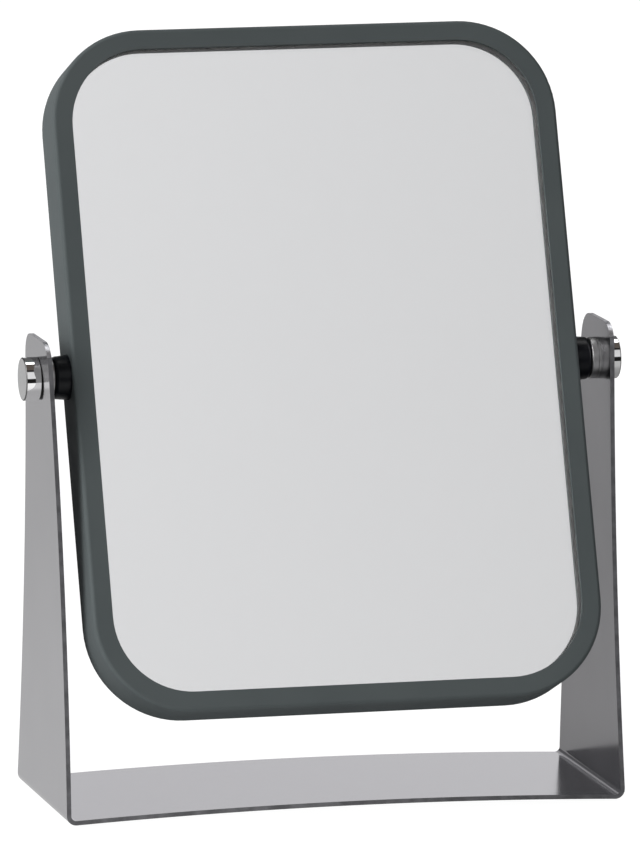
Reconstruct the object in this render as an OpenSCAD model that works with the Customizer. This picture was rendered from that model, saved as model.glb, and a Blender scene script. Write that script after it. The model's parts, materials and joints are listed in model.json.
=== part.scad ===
// Tilting table mirror: a two-sided mirror head between the arms of a bent sheet stand.
// Millimetres. X to the right, Y to the back, Z up. The origin is on the table, straight
// below the tilt axis. The head is stored leaning back as it stands in use.

/* [Stand] */
// width over the two arms at the foot
base_w = 178; // [177.5:0.5:190]
// depth of the foot plate, front to back
base_d = 70.8; // [60:0.2:90]
// thickness of the bent sheet
sheet_t = 1.4; // [1.2:0.1:1.6]
// height of the arms above the foot plate's ends
arm_h = 146.5; // [143:0.5:156]
// depth of an arm across its top, before the corners are rounded
arm_top_d = 31; // [27:0.5:40]
// corner radius at the top of an arm
arm_top_r = 8; // [3:0.5:10]
// outside radius of the two bends
bend_r = 3.0; // [2.4:0.1:6]
// rise of the arched foot plate at its middle
foot_arch = 2.2; // [1:0.1:4]
// how far the tilt axis lies in front of the foot's middle
axis_forward = 1.0; // [0:0.1:4]
// thickness of the foot pads under the plate's ends
pad_h = 0.8; // [0.4:0.1:1.6]
// diameter of a foot pad
pad_d = 9; // [6:0.5:12]

/* [Head] */
// width of the mirror head
head_w = 161.4; // [158:0.2:162]
// height of the mirror head
head_h = 215; // [190:1:222]
// depth of the mirror head
head_t = 17.4; // [17:0.1:20]
// corner radius of the head's outline
head_r = 29.7; // [24:0.1:40]
// rounding of the head's outer front and back edges
head_edge = 1.3; // [0.6:0.1:1.4]
// width of the flat band round the glass
band_w = 6.25; // [5.8:0.05:9]
// thickness of the band in front of the glass
lip_t = 1.3; // [1:0.1:1.6]
// thickness of the plane glass
glass_t = 3; // [2:0.1:3]
// sphere radius of the magnifying glass
magnify_r = 900; // [900:10:2000]
// lean of the head in its stored position, top to the back
tilt = 20.6; // [0:0.1:30]

/* [Pivot] */
// height of the tilt axis above the foot plate's ends
axis_h = 133.9; // [131:0.1:140]
// diameter of the bright pivot knobs
knob_d = 13.4; // [11:0.1:15]
// length of a pivot knob
knob_l = 4.75; // [4:0.05:9]
// length of the black bush between head and ring
bush_l = 5.05; // [4:0.05:5.2]
// thickness of the metal ring between bush and arm
ring_t = 2.15; // [1.6:0.05:2.3]
// diameter of the pivot stud
stud_d = 5; // [4:0.1:5.4]

/* [Hidden] */
$fn = 64;

axis_z = axis_h + pad_h;
half_w = base_w / 2;
half_d = base_d / 2;
// the arms bow in by 0.43 mm at 48 mm height and out again to the top
arm_R = 2717;
arm_waist_z = 48.1 + pad_h;
arm_x0 = half_w - 0.426;
// the foot plate's underside is an arc through the two ends
foot_R = (half_w * half_w + foot_arch * foot_arch) / (2 * foot_arch);
foot_cz = pad_h + foot_arch - foot_R;
arm_cx = arm_x0 + arm_R;
// centre of the bend: tangent to the foot arc and to the arm arc
cd_x = arm_cx;
cd_z = arm_waist_z - foot_cz;
cd = sqrt(cd_x * cd_x + cd_z * cd_z);
r1 = foot_R + bend_r;
r2 = arm_R + bend_r;
ca = (r1 * r1 - r2 * r2 + cd * cd) / (2 * cd);
ch = sqrt(r1 * r1 - ca * ca);
bend_x = (ca * cd_x - ch * cd_z) / cd;
bend_z = foot_cz + (ca * cd_z + ch * cd_x) / cd;
f_n = [bend_x / r1, (bend_z - foot_cz) / r1];
a_n = [(bend_x - arm_cx) / r2, (bend_z - arm_waist_z) / r2];
// arm surfaces at the tilt axis
dz = axis_z - arm_waist_z;
arm_out_x = arm_cx - sqrt(arm_R * arm_R - dz * dz);
arm_in_x = arm_out_x - sheet_t;
arm_slope = dz / arm_R;

open_w = head_w - 2 * band_w;
open_h = head_h - 2 * band_w;
open_r = head_r - 5.6;
wall_t = 2.4;
wall_step = 0.8;
cav_w = head_w - 2 * wall_t;
cav_h = head_h - 2 * wall_t;
cav_r = head_r - wall_t;
pane_w = open_w + 4.4;
pane_h = open_h + 4.4;
pane_r = open_r + 2.2;
silver_t = 0.12;
foam_t = 1.0;
rear_plate = 1.5;
// magnifying glass: 2 mm thick, concave towards the back
mag_t = 2.0;
corner_reach = sqrt(pow(pane_w / 2 - pane_r, 2) + pow(pane_h / 2 - pane_r, 2)) + pane_r;
mag_corner = head_t - rear_plate - 0.3;
mag_sag = magnify_r - sqrt(magnify_r * magnify_r - corner_reach * corner_reach);
mag_c = mag_corner - mag_sag + magnify_r;

// stations along the tilt axis, from the middle outwards
wall_out = head_w / 2;
wall_in = head_w / 2 - wall_t;
bush_end = wall_out + bush_l;
ring_end = bush_end + ring_t;
fr_r = 6.5;
fr_in = min(ring_end + 0.04, arm_in_x - arm_slope * fr_r - 0.1);
kw_r = knob_d / 2 - 0.25;
kw_out = arm_out_x + arm_slope * knob_d / 2 + 0.05;
knob_in = kw_out + 0.04;
knob_out = knob_in + knob_l;
insert_r = 3.5;
flange_r = 5;
stud_in = wall_in - 0.9;

// ---------- shapes used by several pieces ----------

// rounded rectangle in the XY plane
module rrect(w, h, r) {
  square([w - 2 * r, h], center = true);
  square([w, h - 2 * r], center = true);
  for (sx = [-1, 1], sy = [-1, 1])
    translate([sx * (w / 2 - r), sy * (h / 2 - r)]) circle(r, $fn = 96);
}

// slab of the head: outline w x h, from depth d0 to d1 behind the front face
module slab(w, h, r, d0, d1)
  translate([0, d0 - head_t / 2, 0]) rotate([-90, 0, 0]) linear_extrude(d1 - d0) rrect(w, h, r);

// head coordinates into the leaning position on the tilt axis
module leaned() translate([0, 0, axis_z]) rotate([-tilt, 0, 0]) children();

// turned piece on the tilt axis: side -1 left, 1 right; profile as [radius, distance from the middle] points
module turned(side) translate([0, 0, axis_z]) rotate([0, side * 90, 0]) rotate_extrude($fn = 96) children();

// section of the head's rim: from the corner centre outwards, both outer edges rounded
module rim_section(len, e, t) {
  square([len - e, t]);
  translate([0, e]) square([len, t - 2 * e]);
  for (y = [e, t - e]) translate([len - e, y]) circle(e, $fn = 48);
}

// ring of four straight sides and four quarter corners with that section
module rounded_ring(w, h, r, e, t)
  translate([0, -t / 2, 0]) rotate([-90, 0, 0]) {
    for (q = [0, 2]) rotate([0, 0, q * 90]) translate([w / 2 - r, 0, 0])
      rotate([90, 0, 0]) linear_extrude(h - 2 * r, center = true) rim_section(r, e, t);
    for (q = [1, 3]) rotate([0, 0, q * 90]) translate([h / 2 - r, 0, 0])
      rotate([90, 0, 0]) linear_extrude(w - 2 * r, center = true) rim_section(r, e, t);
    for (sx = [0, 1], sy = [0, 1]) mirror([sx, 0, 0]) mirror([0, sy, 0])
      translate([w / 2 - r, h / 2 - r, 0]) rotate_extrude(angle = 90, $fn = 96) rim_section(r, e, t);
  }

// everything in front of a sphere of radius R about the magnifying pane's centre
module before_sphere(R)
  translate([0, -head_t / 2, 0]) rotate([-90, 0, 0]) rotate_extrude($fn = 180)
    difference() {
      translate([0, -5]) square([150, head_t + 10]);
      translate([0, mag_c]) circle(R, $fn = 3600);
    }

// ---------- stand ----------

// half of the sheet's centre-to-arm outline, moved inwards by o: foot arc, bend, arm arc
foot_a = atan2(f_n[1], f_n[0]);
bend_a0 = atan2(-f_n[1], -f_n[0]);
bend_a1 = atan2(-a_n[1], -a_n[0]);
arm_a0 = 360 + atan2(a_n[1], a_n[0]);
arm_a1 = 180 - asin((arm_h + pad_h + 3 - arm_waist_z) / arm_R);
function arc(c, r, a0, a1, n) = [for (i = [0:n]) c + r * [cos(a0 + (a1 - a0) * i / n), sin(a0 + (a1 - a0) * i / n)]];
function tail(l) = [for (i = [1:len(l) - 1]) l[i]];
function half_path(o) = concat(
  arc([0, foot_cz], foot_R + o, 90, foot_a, 20),
  tail(arc([bend_x, bend_z], bend_r - o, bend_a0, bend_a1, 12)),
  tail(arc([arm_cx, arm_waist_z], arm_R + o, arm_a0, arm_a1, 24)));
function mirrored(l) = [for (i = [len(l) - 1:-1:1]) [-l[i][0], l[i][1]]];
function reversed(l) = [for (i = [len(l) - 1:-1:0]) l[i]];
function path(o) = concat(mirrored(half_path(o)), half_path(o));

// side view of the stand; Y and Z drawn as 2D
slant_z0 = pad_h + 3.7;
arm_top_z = arm_h + pad_h;
slant = (half_d - arm_top_d / 2) / (arm_top_z - slant_z0);
top_cz = arm_top_z - arm_top_r;
top_cy = half_d - slant * (top_cz - slant_z0) - arm_top_r * sqrt(1 + slant * slant);
sn = sqrt(1 + slant * slant);
module side_region() {
  polygon([
    [-half_d, -5], [half_d, -5], [half_d, slant_z0],
    [top_cy + arm_top_r / sn, top_cz + arm_top_r * slant / sn], [top_cy, top_cz], [top_cy, arm_top_z],
    [-top_cy, arm_top_z], [-top_cy, top_cz], [-top_cy - arm_top_r / sn, top_cz + arm_top_r * slant / sn],
    [-half_d, slant_z0]]);
  for (s = [-1, 1]) translate([s * top_cy, top_cz]) circle(arm_top_r, $fn = 96);
}

module stand_bracket() color([0.66, 0.66, 0.68])
  difference() {
    intersection() {
      translate([0, half_d + 10, 0]) rotate([90, 0, 0]) linear_extrude(base_d + 20)
        polygon(concat(path(0), reversed(path(sheet_t))));
      translate([-half_w - 15, axis_forward, 0]) rotate([90, 0, 90])
        linear_extrude(base_w + 30) side_region();
    }
    translate([0, 0, axis_z]) rotate([0, 90, 0]) cylinder(d = stud_d + 0.1, h = base_w + 40, center = true);
  }

// four soft discs stuck under the ends of the foot plate; their tops follow its slope
pad_x = half_w - 10;
pad_slope = asin(pad_x / foot_R);
pad_top = foot_cz + sqrt(foot_R * foot_R - pad_x * pad_x);
module foot_pads() color([0.12, 0.12, 0.13])
  for (sx = [0, 1], sy = [-1, 1]) mirror([sx, 0, 0])
    translate([pad_x, axis_forward + sy * (half_d - 13), 0]) difference() {
      cylinder(d = pad_d, h = pad_h + 3);
      translate([0, 0, pad_top - 0.01]) rotate([0, pad_slope, 0]) translate([-pad_d, -pad_d, 0]) cube([2 * pad_d, 2 * pad_d, 10]);
    }

// ---------- head ----------

// moulded frame: flat front band, side wall, bores for the two inserts
module front_frame() color([0.24, 0.27, 0.29])
  leaned() difference() {
    rounded_ring(head_w, head_h, head_r, head_edge, head_t);
    slab(open_w, open_h, open_r, -1, head_t + 1);
    slab(cav_w, cav_h, cav_r, lip_t, head_t + 1);
    slab(cav_w + 2 * wall_step, cav_h + 2 * wall_step, cav_r + wall_step, head_t - rear_plate, head_t + 1);
    rotate([0, 90, 0]) cylinder(r = insert_r, h = head_w + 10, center = true, $fn = 64);
  }

module front_glass() color([0.8, 0.86, 0.86, 0.4])
  leaned() slab(pane_w, pane_h, pane_r, lip_t, lip_t + glass_t);

module front_silvering() color([0.85, 0.85, 0.87])
  leaned() slab(pane_w, pane_h, pane_r, lip_t + glass_t, lip_t + glass_t + silver_t);

// soft ring between the silvered pane and the spacer
foam_d0 = lip_t + glass_t + silver_t;
module front_foam_ring() color([0.1, 0.1, 0.1])
  leaned() difference() {
    slab(pane_w - 0.6, pane_h - 0.6, pane_r - 0.3, foam_d0, foam_d0 + foam_t);
    slab(pane_w - 8.6, pane_h - 8.6, pane_r - 4.3, foam_d0 - 1, foam_d0 + foam_t + 1);
  }

// moulded ring that holds both panes against their frames
module pane_spacer() color([0.16, 0.17, 0.18])
  leaned() difference() {
    slab(cav_w - 0.5, cav_h - 0.5, cav_r - 0.25, foam_d0 + foam_t, head_t - rear_plate - 1.6);
    slab(pane_w - 8.6, pane_h - 8.6, pane_r - 4.3, 0, head_t);
    translate([0, -head_t / 2, 0]) rotate([-90, 0, 0]) rotate_extrude($fn = 180)
      intersection() {
        square([150, head_t + 10]);
        translate([0, mag_c]) circle(magnify_r + mag_t + 0.35, $fn = 3600);
      }
    for (s = [-1, 1]) translate([s * (wall_in - 1.6), 0, 0]) rotate([0, s * 90, 0]) cylinder(r = flange_r + 0.6, h = 5, $fn = 64);
  }

// magnifying pane, silvered behind, concave to the back
module rear_mirror() color([0.82, 0.84, 0.86])
  leaned() intersection() {
    slab(pane_w, pane_h, pane_r, 0, head_t);
    translate([0, -head_t / 2, 0]) rotate([-90, 0, 0]) rotate_extrude($fn = 180)
      intersection() {
        square([150, head_t + 10]);
        translate([0, mag_c]) difference() {
          circle(magnify_r + mag_t, $fn = 3600);
          circle(magnify_r, $fn = 3600);
        }
      }
  }

// back ring: flat band set into the wall, inner skirt down to the magnifying pane
module rear_frame() color([0.24, 0.27, 0.29])
  leaned() {
    difference() {
      slab(cav_w + 2 * wall_step - 0.1, cav_h + 2 * wall_step - 0.1, cav_r + wall_step - 0.05, head_t - rear_plate, head_t - 0.1);
      slab(open_w, open_h, open_r, 0, head_t + 1);
    }
    difference() {
      slab(open_w + 3.2, open_h + 3.2, open_r + 1.6, lip_t + glass_t, head_t - 0.1);
      slab(open_w, open_h, open_r, 0, head_t + 1);
      before_sphere(magnify_r - 0.2);
    }
  }

// ---------- pivot pieces, mirrored left and right ----------

// threaded sleeve: flange inside the wall, shank through the wall and the bush
module insert(side) color([0.75, 0.6, 0.3])
  turned(side) polygon([
    [stud_d / 2 + 0.05, wall_in - 1.2], [flange_r, wall_in - 1.2], [flange_r, wall_in],
    [insert_r, wall_in], [insert_r, bush_end], [stud_d / 2 + 0.05, bush_end]]);

// black bush, slightly tapered, with a rounded outer end
module bush(side) color([0.04, 0.04, 0.05])
  turned(side) {
    polygon([[insert_r, wall_out], [7.0, wall_out], [6.65, bush_end - 1.4], [5.25, bush_end], [insert_r, bush_end]]);
    translate([5.25, bush_end - 1.4]) intersection() { circle(1.4, $fn = 48); translate([-0.1, -0.1]) square(1.6); }
  }

// bright ring between bush and arm
module ring(side) color([0.7, 0.7, 0.72])
  turned(side) polygon([
    [stud_d / 2 + 0.05, bush_end], [6.2, bush_end], [6.5, bush_end + 0.3],
    [6.5, ring_end - 0.1], [6.4, ring_end], [stud_d / 2 + 0.05, ring_end]]);

// steel friction washer fixed to the inside of the arm; its outer side follows the arm's lean
module friction_washer(side) color([0.6, 0.6, 0.62])
  mirror([side < 0 ? 1 : 0, 0, 0]) difference() {
    turned(1) translate([stud_d / 2 + 0.05, fr_in]) square([fr_r - stud_d / 2 - 0.05, 3]);
    translate([arm_in_x - 0.015, 0, axis_z]) rotate([0, atan(arm_slope), 0]) translate([0, -10, -20]) cube([20, 20, 40]);
  }

// thin dark washer fixed to the outside of the arm under the knob; its inner side follows the arm's lean
module knob_washer(side) color([0.05, 0.05, 0.05])
  mirror([side < 0 ? 1 : 0, 0, 0]) difference() {
    turned(1) translate([stud_d / 2 + 0.05, kw_out - 3]) square([kw_r - stud_d / 2 - 0.05, 3]);
    translate([arm_out_x + 0.015, 0, axis_z]) rotate([0, atan(arm_slope), 0]) translate([-20, -10, -20]) cube([20, 20, 40]);
  }

// turned knob: bright barrel, flat outer face, blind hole for the stud
module knob(side) color([0.8, 0.8, 0.82])
  turned(side) polygon([
    [stud_d / 2, knob_in], [knob_d / 2, knob_in], [knob_d / 2, knob_out - 0.25], [knob_d / 2 - 0.25, knob_out], [0, knob_out],
    [0, knob_out - 1.5], [stud_d / 2, knob_out - 1.5]]);

// stud from the knob through the arm into the insert
module stud(side) color([0.6, 0.6, 0.62])
  turned(side) translate([0, stud_in]) square([stud_d / 2, knob_out - 1.5 - stud_in]);

stand_bracket();
foot_pads();
front_frame();
front_glass();
front_silvering();
front_foam_ring();
pane_spacer();
rear_mirror();
rear_frame();
insert(-1);  // insert_left
insert(1);  // insert_right
bush(-1);  // bush_left
bush(1);  // bush_right
ring(-1);  // ring_left
ring(1);  // ring_right
friction_washer(-1);  // friction_washer_left
friction_washer(1);  // friction_washer_right
knob_washer(-1);  // knob_washer_left
knob_washer(1);  // knob_washer_right
knob(-1);  // knob_left
knob(1);  // knob_right
stud(-1);  // stud_left
stud(1);  // stud_right
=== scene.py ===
import json
import math

import bmesh
import bpy
from mathutils import Matrix, Vector


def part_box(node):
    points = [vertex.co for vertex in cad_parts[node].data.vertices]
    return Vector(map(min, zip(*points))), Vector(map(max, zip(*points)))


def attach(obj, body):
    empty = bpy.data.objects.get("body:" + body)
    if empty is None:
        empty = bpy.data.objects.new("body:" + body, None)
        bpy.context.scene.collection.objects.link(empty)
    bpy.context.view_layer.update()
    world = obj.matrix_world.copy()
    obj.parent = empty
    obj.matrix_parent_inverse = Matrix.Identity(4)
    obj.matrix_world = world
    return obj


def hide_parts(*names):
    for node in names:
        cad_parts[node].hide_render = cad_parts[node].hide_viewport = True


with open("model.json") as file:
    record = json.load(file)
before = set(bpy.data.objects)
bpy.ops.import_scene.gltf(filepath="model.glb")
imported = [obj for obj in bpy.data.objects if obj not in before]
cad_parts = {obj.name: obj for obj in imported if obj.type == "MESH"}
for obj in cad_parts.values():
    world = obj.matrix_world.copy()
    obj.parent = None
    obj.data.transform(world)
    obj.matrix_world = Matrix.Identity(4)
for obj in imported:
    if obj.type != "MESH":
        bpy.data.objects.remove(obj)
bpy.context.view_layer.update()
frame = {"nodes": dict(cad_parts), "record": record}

AXIS_Z = 0.1347
TILT = math.radians(20.6)
scene = bpy.context.scene
MM = 0.001


# ---------- camera ----------

def make_camera():
    yaw, pitch, roll = math.radians(14.136964), math.radians(9.214414), math.radians(0.061991)
    f = Vector((math.sin(yaw) * math.cos(pitch), math.cos(yaw) * math.cos(pitch), -math.sin(pitch)))
    r = Vector((math.cos(yaw), -math.sin(yaw), 0.0))
    u = r.cross(f)
    r2 = math.cos(roll) * r + math.sin(roll) * u
    u2 = -math.sin(roll) * r + math.cos(roll) * u
    place = Vector((0.000026946, 0.001, 0.117203716)) - f * 2.928483894
    data = bpy.data.cameras.new("camera")
    data.sensor_fit = "AUTO"
    data.sensor_width = 36.0
    data.lens = 9426.867414 * 36.0 / 845.0
    data.shift_x = -0.5 / 845.0
    data.shift_y = 0.5 / 845.0
    data.clip_start, data.clip_end = 0.01, 100.0
    cam = bpy.data.objects.new("camera", data)
    scene.collection.objects.link(cam)
    m = Matrix.Identity(4)
    for i in range(3):
        m[i][0], m[i][1], m[i][2], m[i][3] = r2[i], u2[i], -f[i], place[i]
    cam.matrix_world = m
    scene.camera = cam


make_camera()


# ---------- node helpers ----------

class Tree:
    """Short calls for building a node tree."""

    def __init__(self, tree):
        self.t = tree
        for n in list(tree.nodes):
            tree.nodes.remove(n)

    def node(self, kind, **values):
        n = self.t.nodes.new(kind)
        for k, v in values.items():
            setattr(n, k, v)
        return n

    def feed(self, socket, value):
        if isinstance(value, bpy.types.NodeSocket):
            self.t.links.new(value, socket)
        elif value is not None:
            socket.default_value = value

    def math(self, op, a, b=None, c=None, clamp=False):
        n = self.node("ShaderNodeMath", operation=op, use_clamp=clamp)
        for i, v in enumerate((a, b, c)):
            self.feed(n.inputs[i], v)
        return n.outputs[0]

    def vmath(self, op, a, b=None):
        n = self.node("ShaderNodeVectorMath", operation=op)
        self.feed(n.inputs[0], a)
        self.feed(n.inputs[1], b)
        return n.outputs["Value"] if op in ("LENGTH", "DOT_PRODUCT") else n.outputs[0]

    def ramp(self, value, a, b, lo=0.0, hi=1.0, smooth=True):
        n = self.node("ShaderNodeMapRange", interpolation_type="SMOOTHSTEP" if smooth else "LINEAR")
        self.feed(n.inputs["Value"], value)
        self.feed(n.inputs["From Min"], a)
        self.feed(n.inputs["From Max"], b)
        self.feed(n.inputs["To Min"], lo)
        self.feed(n.inputs["To Max"], hi)
        return n.outputs["Result"]

    def mix(self, fac, a, b):
        n = self.node("ShaderNodeMix", data_type="RGBA")
        self.feed(n.inputs[0], fac)
        self.feed(n.inputs[6], a)
        self.feed(n.inputs[7], b)
        return n.outputs[2]

    def place(self, stretch=(1.0, 1.0, 1.0)):
        """The piece's own coordinates in millimetres, stretched."""
        tc = self.node("ShaderNodeTexCoord")
        return self.vmath("MULTIPLY", tc.outputs["Object"], tuple(1000.0 * s for s in stretch))

    def noise(self, vector, scale, detail=2.0, rough=0.5):
        n = self.node("ShaderNodeTexNoise")
        self.feed(n.inputs["Vector"], vector)
        n.inputs["Scale"].default_value = scale
        n.inputs["Detail"].default_value = detail
        n.inputs["Roughness"].default_value = rough
        return n.outputs[0]

    def bump(self, height, strength, distance):
        n = self.node("ShaderNodeBump")
        self.feed(n.inputs["Height"], height)
        n.inputs["Strength"].default_value = strength
        n.inputs["Distance"].default_value = distance
        return n.outputs[0]


def principled(name, **values):
    m = bpy.data.materials.new(name)
    m.use_nodes = True
    t = Tree(m.node_tree)
    out = t.node("ShaderNodeOutputMaterial")
    p = t.node("ShaderNodeBsdfPrincipled")
    t.t.links.new(p.outputs[0], out.inputs[0])
    for k, v in values.items():
        p.inputs[k.replace("_", " ")].default_value = v
    return m, t, p


# ---------- materials ----------

def grey(v, warm=0.0):
    return (v * (1 + warm), v, v * (1 - warm), 1.0)


def make_sheet():
    """Satin sheet steel with a very fine grain along the strip."""
    m, t, p = principled("sheet_steel", Metallic=1.0)
    patches = t.noise(t.place(), 0.035, 3.0)
    grain = t.noise(t.place((0.10, 1.0, 0.10)), 3.5, 3.0, 0.6)
    specks = t.noise(t.place(), 2.2, 2.0)
    t.feed(p.inputs["Base Color"], t.mix(t.ramp(patches, 0.3, 0.7), (0.424, 0.421, 0.441, 1), (0.452, 0.448, 0.468, 1)))
    rough = t.math("ADD", t.ramp(grain, 0.2, 0.8, 0.14, 0.19), t.ramp(patches, 0.3, 0.7, -0.012, 0.012))
    t.feed(p.inputs["Roughness"], rough)
    height = t.math("ADD", t.math("MULTIPLY", grain, 0.7), t.math("MULTIPLY", specks, 0.3))
    t.feed(p.inputs["Normal"], t.bump(height, 0.10, 0.00003))
    return m


def make_sheet_edge(name, lo, hi, rough):
    """Cut edge of the sheet: duller, with the marks of the cut across it; each copy's tone, lo to hi, also carries
    painted light and shade for the way its edges face.
    """
    m, t, p = principled(name, Metallic=1.0)
    marks = t.noise(t.place((1.0, 0.12, 1.0)), 2.5, 4.0, 0.6)
    patches = t.noise(t.place(), 0.25, 3.0)
    t.feed(p.inputs["Base Color"], t.mix(t.ramp(patches, 0.3, 0.7), (lo, lo, lo * 1.05, 1), (hi, hi, hi * 1.05, 1)))
    t.feed(p.inputs["Roughness"], t.ramp(marks, 0.25, 0.75, rough, rough + 0.16))
    t.feed(p.inputs["Normal"], t.bump(marks, 0.35, 0.00006))
    return m


def make_plastic(name, lo, hi, rough, bump=0.12):
    """Moulded plastic with a smooth, slightly uneven satin surface."""
    m, t, p = principled(name, IOR=1.5)
    clouds = t.noise(t.place(), 0.03, 3.0)
    fine = t.noise(t.place(), 5.5, 2.0)
    waves = t.noise(t.place(), 0.12, 2.0)
    t.feed(p.inputs["Base Color"], t.mix(t.ramp(clouds, 0.3, 0.7), lo, hi))
    t.feed(p.inputs["Roughness"], t.math("ADD", t.ramp(waves, 0.25, 0.75, rough - 0.03, rough + 0.03), t.ramp(fine, 0.2, 0.8, -0.02, 0.02)))
    t.feed(p.inputs["Normal"], t.bump(t.math("ADD", fine, t.math("MULTIPLY", waves, 2.0)), bump, 0.00002))
    return m


def make_chrome(name, value, rough, spread):
    """Polished plated metal."""
    m, t, p = principled(name, Metallic=1.0)
    soft = t.noise(t.place(), 0.4, 2.0)
    hair = t.noise(t.place((0.3, 1.0, 1.0)), 6.0, 2.0)
    t.feed(p.inputs["Base Color"], t.mix(soft, grey(value * 0.98), grey(value)))
    t.feed(p.inputs["Roughness"], t.ramp(hair, 0.3, 0.7, rough, rough + spread))
    t.feed(p.inputs["Normal"], t.bump(soft, 0.03, 0.00002))
    return m


def make_turned_face():
    """End face of a knob, finely turned: rings about the pivot axis."""
    m, t, p = principled("knob_face", Metallic=1.0)
    tc = t.node("ShaderNodeTexCoord")
    flat = t.vmath("MULTIPLY", t.vmath("SUBTRACT", tc.outputs["Object"], (0.0, 0.0, AXIS_Z)), (0.0, 1000.0, 1000.0))
    radius = t.vmath("LENGTH", flat)
    rings = t.math("SINE", t.math("MULTIPLY", radius, 2 * math.pi / 0.16))
    uneven = t.noise(t.place(), 0.8, 3.0)
    t.feed(p.inputs["Base Color"], t.mix(uneven, grey(0.64, -0.006), grey(0.705, -0.006)))
    t.feed(p.inputs["Roughness"], t.ramp(uneven, 0.3, 0.7, 0.17, 0.24))
    t.feed(p.inputs["Normal"], t.bump(t.math("ADD", rings, uneven), 0.15, 0.00001))
    return m


def make_glass():
    m, t, p = principled("pane_glass", Transmission_Weight=1.0, IOR=1.52, Base_Color=(0.99, 0.992, 0.99, 1.0))
    smear = t.noise(t.place((1.0, 1.0, 0.4)), 0.05, 4.0)
    t.feed(p.inputs["Roughness"], t.ramp(smear, 0.45, 0.9, 0.0, 0.006))
    return m


def make_silver(name, value):
    m, t, p = principled(name, Metallic=1.0)
    soft = t.noise(t.place(), 0.02, 2.0)
    t.feed(p.inputs["Base Color"], t.mix(soft, (value, value, value * 1.006, 1), (value * 0.995, value * 0.995, value, 1)))
    t.feed(p.inputs["Roughness"], t.ramp(soft, 0.3, 0.7, 0.0, 0.004))
    return m


def make_brass():
    m, t, p = principled("insert_brass", Metallic=1.0)
    turned = t.noise(t.place((4.0, 0.2, 0.2)), 2.0, 2.0)
    t.feed(p.inputs["Base Color"], t.mix(turned, (0.60, 0.43, 0.19, 1), (0.72, 0.54, 0.26, 1)))
    t.feed(p.inputs["Roughness"], t.ramp(turned, 0.3, 0.7, 0.22, 0.34))
    t.feed(p.inputs["Normal"], t.bump(turned, 0.2, 0.00002))
    return m


def make_rubber(name, value):
    m, t, p = principled(name)
    grain = t.noise(t.place(), 4.0, 3.0)
    t.feed(p.inputs["Base Color"], t.mix(grain, grey(value * 0.8), grey(value)))
    t.feed(p.inputs["Roughness"], t.ramp(grain, 0.3, 0.7, 0.62, 0.78))
    t.feed(p.inputs["Normal"], t.bump(grain, 0.3, 0.00005))
    return m


SHEET = make_sheet()
# two copies of the cut-edge material: the cuts are duller than the broad sides, partly for the real cut and partly as
# painted shade on the front-facing cuts; the cuts along the arms' tops are a painted lighter copy, for light falling
# from above
EDGE, EDGE_TOP = make_sheet_edge("sheet_edge", 0.15, 0.23, 0.30), make_sheet_edge("sheet_edge_top_painted_light", 0.42, 0.54, 0.30)
FRAME_MAT = make_plastic("frame_plastic", (0.0798, 0.0932, 0.0955, 1), (0.0886, 0.1027, 0.1045, 1), 0.60)
FRAME_MAT.node_tree.nodes["Principled BSDF"].inputs["Specular IOR Level"].default_value = 0.12
INNER = make_plastic("inner_plastic", (0.020, 0.021, 0.022, 1), (0.026, 0.027, 0.028, 1), 0.5)
BLACK = make_plastic("bush_plastic", (0.0030, 0.0038, 0.0055, 1), (0.0042, 0.0052, 0.0075, 1), 0.34)
BLACK.node_tree.nodes["Principled BSDF"].inputs["Specular IOR Level"].default_value = 0.18
WASHER = make_plastic("washer_plastic", (0.004, 0.004, 0.004, 1), (0.006, 0.006, 0.006, 1), 0.42)
WASHER.node_tree.nodes["Principled BSDF"].inputs["Specular IOR Level"].default_value = 0.15
CHROME, FACE = make_chrome("knob_metal", 0.86, 0.02, 0.03), make_turned_face()
RING = make_chrome("ring_metal", 0.36, 0.38, 0.08)
# painted shade: the eased edges are made far darker than the metal they round off, so that they catch no glint of the
# lamps
EASED = make_chrome("eased_edge_painted_shade", 0.13, 0.36, 0.10)
WASHER_STEEL = make_chrome("washer_steel", 0.36, 0.38, 0.08)
# painted light: the ledge that the pane lies against is made near-white, so that a light line shows in the mirror round
# the inside of the band
LEDGE = make_rubber("pane_ledge_painted_light", 0.85)
STUD = make_chrome("stud_steel", 0.50, 0.25, 0.08)
GLASS, SILVER, REAR = make_glass(), make_silver("silver_coat", 0.90), make_silver("magnifying_pane", 0.88)
BRASS, PAD, FOAM = make_brass(), make_rubber("pad_rubber", 0.035), make_rubber("foam", 0.018)


# ---------- pieces ----------

BODY_OF = {n: b for b, ns in frame["record"]["behaviour"]["bodies"].items() for n in ns}


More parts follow.
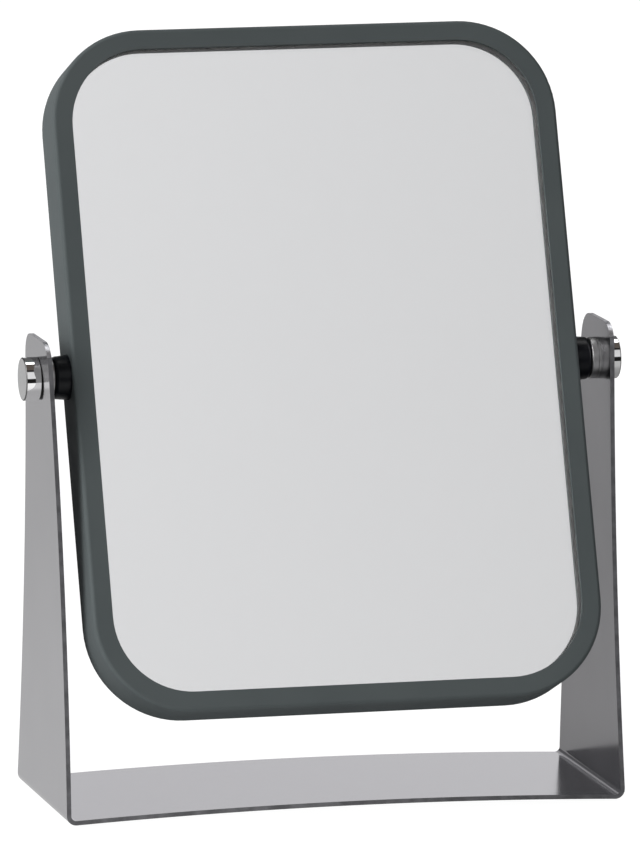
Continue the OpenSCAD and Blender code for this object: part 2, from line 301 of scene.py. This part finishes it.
def remake(node, materials, bevel=0.0, segments=2, sharp=35.0, shrink=0.0, pick=None, keep=None, bevel_slot=None):
    """The node's surface as one closed mesh: flat faces joined, edges eased by `bevel` and smooth shading between soft edges."""
    me = bpy.data.meshes.new(node + "_form")
    bm = bmesh.new()
    bm.from_mesh(frame["nodes"][node].data)
    bmesh.ops.remove_doubles(bm, verts=bm.verts, dist=1e-7)
    bmesh.ops.recalc_face_normals(bm, faces=bm.faces)
    bmesh.ops.dissolve_limit(bm, angle_limit=math.radians(0.05), verts=bm.verts, edges=bm.edges)
    for f in bm.faces:
        f.material_index = pick(f) if pick else 0
    if shrink:
        bm.normal_update()
        for v, n in [(v, v.normal.copy()) for v in bm.verts]:
            v.co -= n * shrink
    if bevel:
        edges = [e for e in bm.edges if len(e.link_faces) == 2 and e.calc_face_angle() > math.radians(sharp) and (keep is None or keep(e))]
        made = bmesh.ops.bevel(bm, geom=edges, offset=bevel, offset_type="OFFSET", segments=segments, profile=0.5, affect="EDGES", clamp_overlap=True, material=-1)
        if bevel_slot is not None:
            for f in made["faces"]:
                f.material_index = bevel_slot
    bm.normal_update()
    for f in bm.faces:
        f.smooth = True
    for e in bm.edges:
        e.smooth = not (len(e.link_faces) == 2 and e.calc_face_angle() > math.radians(sharp))
    bm.to_mesh(me)
    bm.free()
    for m in materials:
        me.materials.append(m)
    o = bpy.data.objects.new(node + "_form", me)
    scene.collection.objects.link(o)
    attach(o, BODY_OF[node])
    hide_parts(node)
    if bevel:
        w = o.modifiers.new("normals", "WEIGHTED_NORMAL")
        w.keep_sharp = True
    return o


def cut_face(f):
    """0 on the sheet's two broad sides, 1 on its cut edges, painted darker as shade, 2 on the cut round the top of an
    arm, painted lighter as light from above.
    """
    n, c = f.normal, f.calc_center_median()
    if abs(n.y) > 0.02 or (c.z > 0.1472 and n.z > 0.9):
        return 2 if c.z > 0.13 and n.z > 0.5 else 1
    return 0


BACKWARDS = Vector((0.0, math.cos(TILT), -math.sin(TILT)))


def ledge_face(f):
    """1 on the ledge that the plane pane lies against, 0 elsewhere on the frame."""
    depth = (f.calc_center_median() - Vector((0.0, 0.0, AXIS_Z))).dot(BACKWARDS)
    return 1 if f.normal.dot(BACKWARDS) > 0.9 and abs(depth + 0.0074) < 0.0003 else 0


KNOB_FACE_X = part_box("knob_right")[1][0] - 0.0002


def knob_face(f):
    """1 on a knob's turned outer face, 2 on the narrow chamfer round it, 0 on the barrel."""
    if abs(f.normal.x) > 0.95 and abs(f.calc_center_median().x) > KNOB_FACE_X:
        return 1
    return 2 if 0.3 < abs(f.normal.x) < 0.95 and abs(f.calc_center_median().x) > KNOB_FACE_X - 0.0003 else 0


MAGNIFY_CENTRE = 0.907774 - 0.0087


def remake_magnifier():
    """The magnifying pane with the true normals of its two spherical sides, so that its reflection is clean."""
    o = remake("rear_mirror", [REAR])
    me = o.data
    centre = Vector((0.0, 0.0, AXIS_Z)) + BACKWARDS * MAGNIFY_CENTRE
    normals = []
    for face in me.polygons:
        for i in face.loop_indices:
            out = (me.vertices[me.loops[i].vertex_index].co - centre).normalized()
            along = face.normal.dot(out)
            normals.append(out * (1.0 if along > 0 else -1.0) if abs(along) > 0.95 else face.normal.copy())
    me.normals_split_custom_set(normals)


def dress(node, material):
    """A CAD node that is shown as it is, with its own material."""
    o = frame["nodes"][node]
    o.data.materials.clear()
    o.data.materials.append(material)


remake("stand_bracket", [SHEET, EDGE, EDGE_TOP, EASED], bevel=0.00030, segments=4, sharp=50, pick=cut_face, bevel_slot=3)
remake("front_frame", [FRAME_MAT, LEDGE], bevel=0.00012, segments=2, sharp=50, pick=ledge_face)
remake("rear_frame", [FRAME_MAT], bevel=0.00012, segments=2, sharp=50)
remake("front_glass", [GLASS], shrink=0.00002)
remake("front_silvering", [SILVER], shrink=0.00002)
remake_magnifier()
dress("pane_spacer", INNER)
dress("front_foam_ring", FOAM)
dress("foot_pads", PAD)
for side in ("left", "right"):
    remake("knob_" + side, [CHROME, FACE, EASED], bevel=0.00008, segments=2, sharp=30, pick=knob_face, bevel_slot=2)
    remake("bush_" + side, [BLACK], bevel=0.0001, segments=2, sharp=40)
    remake("ring_" + side, [RING], bevel=0.00006, segments=2, sharp=30)
    dress("friction_washer_" + side, WASHER_STEEL)
    dress("knob_washer_" + side, WASHER)
    dress("stud_" + side, STUD)
    dress("insert_" + side, BRASS)


# ---------- floor and light ----------

def make_floor():
    """A pale table sheet that glows a little, with painted light and shade in the glow: brighter to the left of the
    object and just in front of it, painted darker behind and to the right of it, where the object's shadow falls.
    The camera sees it lifted to white, so that only faint contact shadows show."""
    me = bpy.data.meshes.new("floor")
    bm = bmesh.new()
    x0, x1, y0, y1 = -2.5, 2.5, -0.52, 3.0
    vs = [bm.verts.new(c) for c in ((x0, y0, -0.00002), (x1, y0, -0.00002), (x1, y1, -0.00002), (x0, y1, -0.00002))]
    bm.faces.new(vs)
    bm.to_mesh(me)
    bm.free()
    m, t, p = principled("floor_white")
    place = t.place()
    tone = t.noise(place, 0.01, 2.0)
    t.feed(p.inputs["Base Color"], t.mix(tone, grey(0.085), grey(0.10)))
    t.feed(p.inputs["Roughness"], t.ramp(tone, 0.3, 0.7, 0.70, 0.76))
    xyz = t.node("ShaderNodeSeparateXYZ")
    t.feed(xyz.inputs[0], place)
    across = t.math("ADD", xyz.outputs[0], t.math("MULTIPLY", xyz.outputs[1], 0.2519))
    # painted shade: the glow seen in reflections is weaker behind and to the right of the object, where its shadow
    # falls, and weaker still far to the right
    near = t.ramp(across, -70, 105, 0.550, 0.234)
    far = t.ramp(across, -70, 105, 0.480, 0.163)
    share = t.ramp(xyz.outputs[1], 110, 560)
    glow = t.math("ADD", t.math("MULTIPLY", near, t.math("SUBTRACT", 1.0, share)), t.math("MULTIPLY", far, share))
    glow = t.math("MULTIPLY", glow, t.ramp(across, 105, 260, 1.0, 0.55))
    # painted light: a brighter pool of glow on the floor just in front of the object
    glow = t.math("MULTIPLY", glow, t.ramp(xyz.outputs[1], -170, -70, 1.7, 1.0))
    lift = t.node("ShaderNodeEmission")
    path = t.node("ShaderNodeLightPath")
    seen = path.outputs["Is Camera Ray"]
    t.feed(lift.inputs["Strength"], t.math("ADD", t.math("MULTIPLY", seen, 0.97), t.math("MULTIPLY", t.math("SUBTRACT", 1.0, seen), glow)))
    both = t.node("ShaderNodeAddShader")
    t.feed(both.inputs[0], p.outputs[0])
    t.feed(both.inputs[1], lift.outputs[0])
    out = next(n for n in m.node_tree.nodes if n.type == "OUTPUT_MATERIAL")
    t.feed(out.inputs[0], both.outputs[0])
    me.materials.append(m)
    o = bpy.data.objects.new("floor", me)
    scene.collection.objects.link(o)


def make_world():
    """A white studio: soft panels to the sides, in front and above, darker gaps between them."""
    w = bpy.data.worlds.new("studio")
    scene.world = w
    w.use_nodes = True
    t = Tree(w.node_tree)
    out = t.node("ShaderNodeOutputWorld")
    tc = t.node("ShaderNodeTexCoord")
    xyz = t.node("ShaderNodeSeparateXYZ")
    t.feed(xyz.inputs[0], tc.outputs["Generated"])
    x, y, z = xyz.outputs
    deg = 180.0 / math.pi
    front = t.math("MULTIPLY", t.math("ARCTAN2", x, t.math("MULTIPLY", y, -1.0)), deg)
    back = t.math("MULTIPLY", t.math("ARCTAN2", x, y), deg)
    el = t.math("MULTIPLY", t.math("ARCSINE", z), deg)

    def window(v, a, b, s):
        return t.math("MULTIPLY", t.ramp(v, a - s, a + s), t.ramp(v, b - s, b + s, 1.0, 0.0))

    light = (0.20, 0.20, 0.205, 1.0)
    for along, a0, a1, e0, e1, s, colour in PANELS:
        mask = t.math("MULTIPLY", window(front if along == "front" else back, a0, a1, s), window(el, e0, e1, s))
        light = t.mix(mask, light, (*colour, 1.0))
    # the front panel falls off gently to the right
    fade = t.math("MULTIPLY", window(front, -9, 44, 3), window(el, 8.5, 43.5, 1.5))
    tone = t.ramp(front, 4, 28, 1.0, 0.55, False)
    colour = t.node("ShaderNodeCombineXYZ")
    tone = t.math("MULTIPLY", tone, t.ramp(el, 28.5, 33.5, 0.968, 1.008, False))
    t.feed(colour.inputs[0], tone)
    t.feed(colour.inputs[1], tone)
    t.feed(colour.inputs[2], t.math("MULTIPLY", tone, 1.012))
    light = t.mix(fade, light, colour.outputs[0])
    seen = t.node("ShaderNodeBackground")
    t.feed(seen.inputs["Color"], (1.0, 1.0, 1.0, 1.0))
    seen.inputs["Strength"].default_value = 1.05
    lit = t.node("ShaderNodeBackground")
    t.feed(lit.inputs["Color"], light)
    lit.inputs["Strength"].default_value = 1.0
    path = t.node("ShaderNodeLightPath")
    both = t.node("ShaderNodeMixShader")
    t.feed(both.inputs[0], path.outputs["Is Camera Ray"])
    t.feed(both.inputs[1], lit.outputs[0])
    t.feed(both.inputs[2], seen.outputs[0])
    t.feed(out.inputs[0], both.outputs[0])


# which way, from, to, lowest, highest, softness (degrees), radiance
PANELS = [
    ("front", -125, 2, -95, 8, 3, (0.40, 0.40, 0.40)),
    ("front", 2, 34, -95, 7, 2, (0.012, 0.012, 0.012)),
    ("front", -64, 0, 8, 91, 3, (0.34, 0.34, 0.34)),
    ("front", 1, 80, 45.5, 54, 1.5, (0.012, 0.011, 0.010)),
    ("front", 1, 110, 54, 95, 3, (0.11, 0.093, 0.082)),
    ("front", 42, 142, 7, 44, 4, (0.28, 0.28, 0.28)),
    ("back", 4, 80, 58, 81, 3, (2.9, 2.9, 2.9)),
    ("back", -75, 75, 20, 57, 2, (0.12, 0.12, 0.122)),
    ("back", -8, 46, -3, 19, 3, (0.822, 0.817, 0.832)),
    ("back", -36, -9, -12, 18, 3, (0.125, 0.125, 0.13)),
    ("back", -95, -42, -14, 40, 5, (1.02, 1.0, 1.0)),
    ("front", -100, -58, 6, 62, 4, (5.6, 5.55, 5.55)),
]

make_floor()
make_world()
scene.view_settings.view_transform = "Standard"
scene.view_settings.look = "None"
